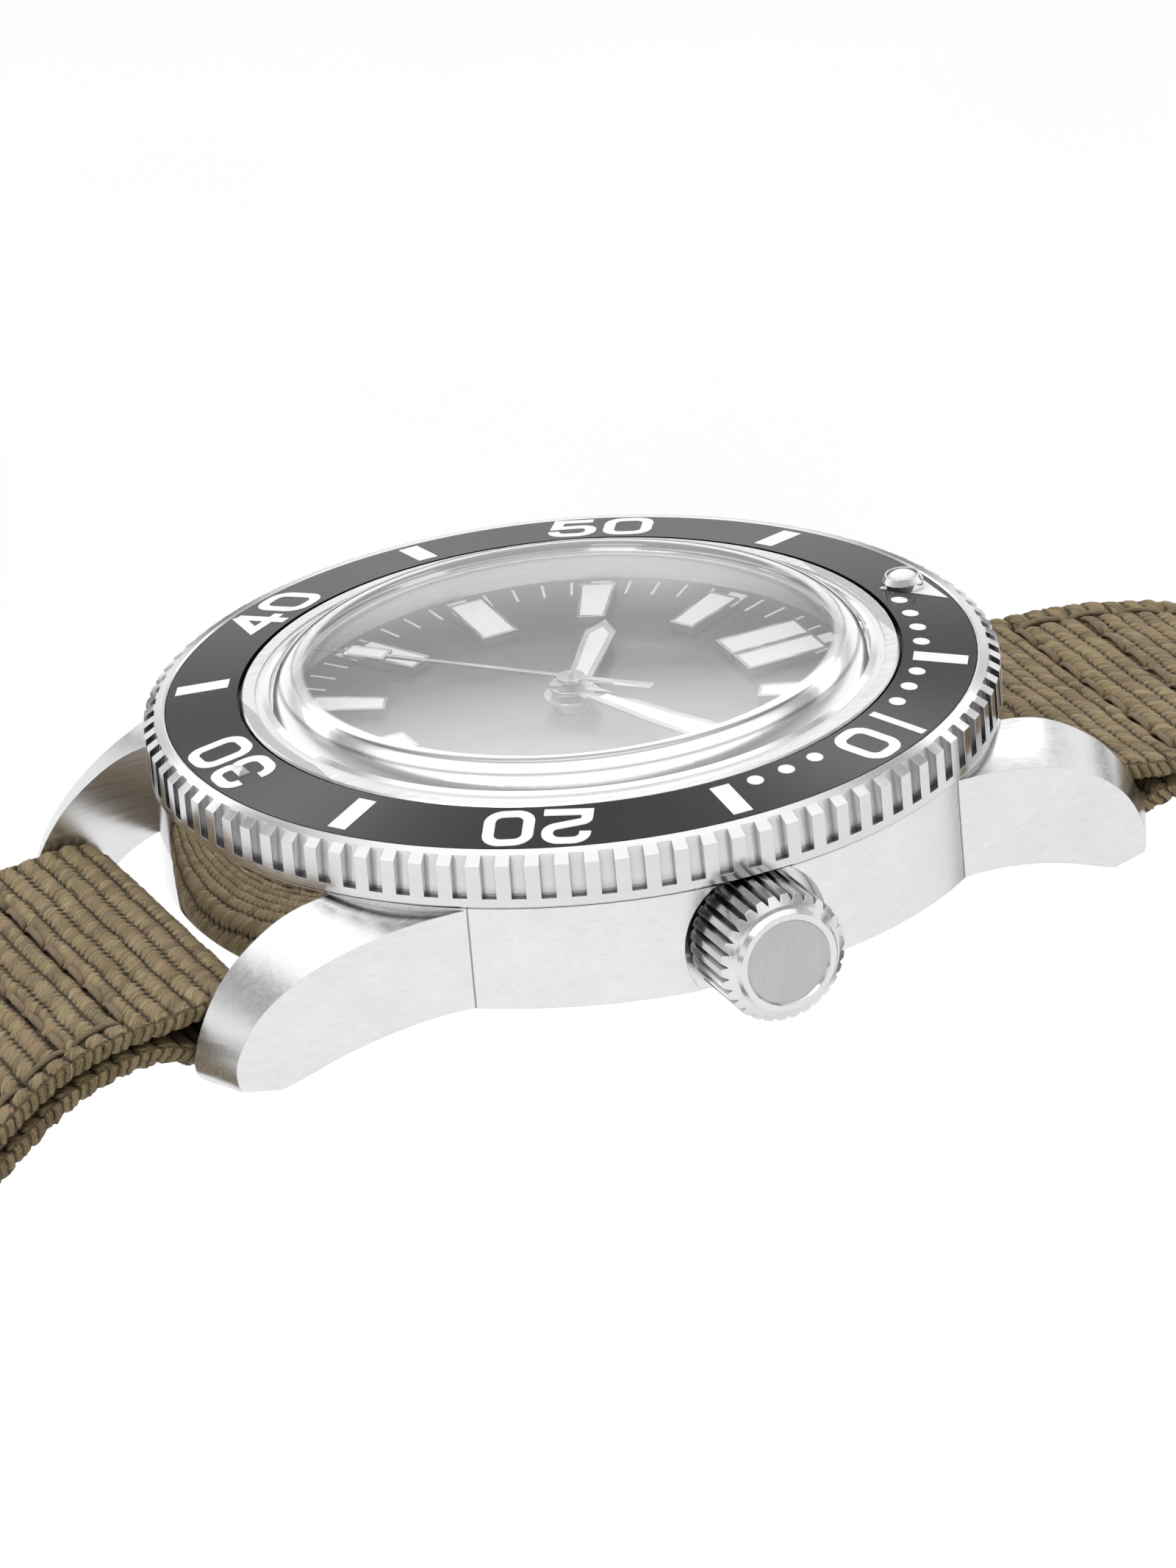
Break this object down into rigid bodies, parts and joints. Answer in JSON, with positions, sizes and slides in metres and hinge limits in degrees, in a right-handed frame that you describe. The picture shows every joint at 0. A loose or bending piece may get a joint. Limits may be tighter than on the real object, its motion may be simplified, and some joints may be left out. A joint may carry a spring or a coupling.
{
  "type": "dive watch",
  "caption": "Automatic dive watch: steel case, rotating coin-edge bezel, domed crystal, grey dial, coupled hands and geared movement, two-piece olive webbing strap with pin buckle.",
  "frame": {"origin": "centre of the flat outer face of the screwed case back", "axes": "+Z out through the dial, +Y towards 12 o'clock, +X towards the crown at 3 o'clock"},
  "size_m": [0.0419, 0.1174, 0.1071],
  "materials": {
    "polished_steel": "polished stainless steel",
    "brushed_steel": "brushed and polished stainless steel",
    "buckle_steel": "brushed stainless steel",
    "spring_steel": "drawn spring steel",
    "bezel_black": "glossy black enamel",
    "lume_white": "white luminous filling",
    "sapphire": "clear domed crystal",
    "rehaut_steel": "brushed steel",
    "dial_grey": "sunburst grey lacquer",
    "marker_steel": "polished steel",
    "gasket_rubber": "black rubber",
    "gasket_nylon": "white nylon",
    "plate_nickel": "nickel plated brass",
    "tungsten": "tungsten alloy",
    "wheel_brass": "gilt brass",
    "hard_steel": "hardened steel",
    "ruby": "synthetic ruby",
    "webbing": "woven olive nylon webbing"
  },
  "bodies": {
    "case": {"case": "brushed_steel", "case_back": "brushed_steel", "back_gasket": "gasket_rubber", "crown_tube": "polished_steel", "spring_bar_12": "spring_steel", "spring_bar_6": "spring_steel", "click_spring": "spring_steel", "bezel_wire": "spring_steel", "crystal": "sapphire", "crystal_gasket": "gasket_nylon", "rehaut_ring": "rehaut_steel", "dial": "dial_grey", "hour_markers": "marker_steel", "marker_lume": "lume_white", "mainplate": "plate_nickel", "movement_ring": "plate_nickel", "barrel_bridge": "plate_nickel", "train_bridge": "plate_nickel", "balance_cock": "plate_nickel", "pallet_bridge": "plate_nickel", "bridge_screws": "hard_steel", "jewels": "ruby", "rotor_bearing": "plate_nickel"},
    "bezel": {"bezel_ring": "polished_steel", "bezel_insert": "bezel_black", "pearl_rim": "polished_steel", "bezel_pearl": "lume_white"},
    "winding_pinion": {"winding_pinion": "hard_steel"},
    "crown": {"crown": "brushed_steel", "winding_stem": "spring_steel", "crown_gasket": "gasket_rubber"},
    "crown_wheel": {"crown_wheel": "hard_steel"},
    "ratchet": {"ratchet_wheel": "hard_steel"},
    "barrel": {"barrel": "wheel_brass", "mainspring": "spring_steel"},
    "second_wheel": {"second_wheel": "wheel_brass"},
    "third_wheel": {"third_wheel": "wheel_brass"},
    "seconds": {"fourth_wheel": "wheel_brass", "seconds_hand": "marker_steel", "seconds_hand_lume": "lume_white"},
    "escape_wheel": {"escape_wheel": "hard_steel"},
    "pallet_fork": {"pallet_fork": "hard_steel"},
    "balance": {"balance_wheel": "wheel_brass", "hairspring": "spring_steel"},
    "minute": {"cannon_pinion": "hard_steel", "minute_hand": "marker_steel", "minute_hand_lume": "lume_white"},
    "minute_wheel": {"minute_wheel": "wheel_brass"},
    "hour": {"hour_wheel": "wheel_brass", "hour_hand": "marker_steel", "hour_hand_lume": "lume_white"},
    "rotor": {"rotor": "plate_nickel", "rotor_weight": "tungsten"},
    "strap_12": {"strap_12": "webbing", "fixed_keeper": "webbing"},
    "sliding_keeper": {"sliding_keeper": "webbing"},
    "buckle": {"buckle_frame": "buckle_steel", "buckle_bar": "buckle_steel"},
    "tang": {"buckle_tang": "buckle_steel"},
    "strap_6": {"strap_6": "webbing"}
  },
  "joints": [
    {"name": "bezel_turn", "type": "hinge", "parent": "case", "child": "bezel", "pos_m": [0, 0, 0.0085], "axis": [0, 0, 1], "continuous": true},
    {"name": "crown_turn", "type": "hinge", "parent": "case", "child": "winding_pinion", "pos_m": [0, 0, 0.0045], "axis": [1, 0, 0], "continuous": true},
    {"name": "crown_pull", "type": "slide", "parent": "winding_pinion", "child": "crown", "axis": [1, 0, 0], "range_m": [0, 0.0016]},
    {"name": "crown_wheel_turn", "type": "hinge", "parent": "case", "child": "crown_wheel", "pos_m": [0.00739, 0, 0.0032], "axis": [0, 0, 1], "continuous": true},
    {"name": "ratchet_turn", "type": "hinge", "parent": "case", "child": "ratchet", "pos_m": [0.0042, 0.0069, 0.0032], "axis": [0, 0, 1], "continuous": true},
    {"name": "seconds_turn", "type": "hinge", "parent": "case", "child": "seconds", "pos_m": [0, 0, 0.0044], "axis": [0, 0, 1], "continuous": true},
    {"name": "third_wheel_turn", "type": "hinge", "parent": "case", "child": "third_wheel", "pos_m": [-0.00268, 0.00242, 0.0044], "axis": [0, 0, 1], "continuous": true},
    {"name": "second_wheel_turn", "type": "hinge", "parent": "case", "child": "second_wheel", "pos_m": [-0.00102, 0.00611, 0.0044], "axis": [0, 0, 1], "continuous": true},
    {"name": "barrel_turn", "type": "hinge", "parent": "case", "child": "barrel", "pos_m": [0.0042, 0.0069, 0.0048], "axis": [0, 0, 1], "continuous": true},
    {"name": "escape_wheel_turn", "type": "hinge", "parent": "case", "child": "escape_wheel", "pos_m": [-0.00117, -0.00321, 0.0044], "axis": [0, 0, 1], "continuous": true},
    {"name": "minute_hand_turn", "type": "hinge", "parent": "case", "child": "minute", "pos_m": [0, 0, 0.007], "axis": [0, 0, 1], "continuous": true},
    {"name": "minute_wheel_turn", "type": "hinge", "parent": "case", "child": "minute_wheel", "pos_m": [0.0026, -0.0015, 0.0068], "axis": [0, 0, 1], "continuous": true},
    {"name": "hour_hand_turn", "type": "hinge", "parent": "case", "child": "hour", "pos_m": [0, 0, 0.007], "axis": [0, 0, 1], "continuous": true},
    {"name": "pallet_rock", "type": "hinge", "parent": "case", "child": "pallet_fork", "pos_m": [-0.00171, -0.0058, 0.005], "axis": [0, 0, 1], "range_deg": [-5, 5]},
    {"name": "balance_swing", "type": "hinge", "parent": "case", "child": "balance", "pos_m": [-0.0023, -0.0086, 0.004], "axis": [0, 0, 1], "range_deg": [-270, 270]},
    {"name": "rotor_spin", "type": "hinge", "parent": "case", "child": "rotor", "pos_m": [0, 0, 0.002], "axis": [0, 0, 1], "continuous": true},
    {"name": "strap_12_swing", "type": "hinge", "parent": "case", "child": "strap_12", "pos_m": [0, 0.0213, 0.0018], "axis": [-1, 0, 0], "range_deg": [-20, 25]},
    {"name": "keeper_slide", "type": "slide", "parent": "strap_12", "child": "sliding_keeper", "axis": [0, -0.1736, 0.9848], "range_m": [0, 0.008]},
    {"name": "buckle_swing", "type": "hinge", "parent": "strap_12", "child": "buckle", "pos_m": [0, 0.05553, -0.04683], "axis": [1, 0, 0], "range_deg": [-50, 50]},
    {"name": "tang_lift", "type": "hinge", "parent": "buckle", "child": "tang", "pos_m": [0, 0.05553, -0.04683], "axis": [1, 0, 0], "range_deg": [0, 80]},
    {"name": "strap_6_swing", "type": "hinge", "parent": "case", "child": "strap_6", "pos_m": [0, -0.0213, 0.0018], "axis": [1, 0, 0], "range_deg": [-20, 25]}
  ],
  "couplings": [
    {"joint": "crown_wheel_turn", "follows": "crown_turn", "ratio": 0.31579},
    {"joint": "ratchet_turn", "follows": "crown_turn", "ratio": -0.31579},
    {"joint": "third_wheel_turn", "follows": "seconds_turn", "ratio": -0.13333},
    {"joint": "second_wheel_turn", "follows": "seconds_turn", "ratio": 0.016667},
    {"joint": "barrel_turn", "follows": "seconds_turn", "ratio": -0.002381},
    {"joint": "escape_wheel_turn", "follows": "seconds_turn", "ratio": -12},
    {"joint": "minute_hand_turn", "follows": "seconds_turn", "ratio": 0.016667},
    {"joint": "minute_wheel_turn", "follows": "seconds_turn", "ratio": -0.0055556},
    {"joint": "hour_hand_turn", "follows": "seconds_turn", "ratio": 0.0013889}
  ]
}
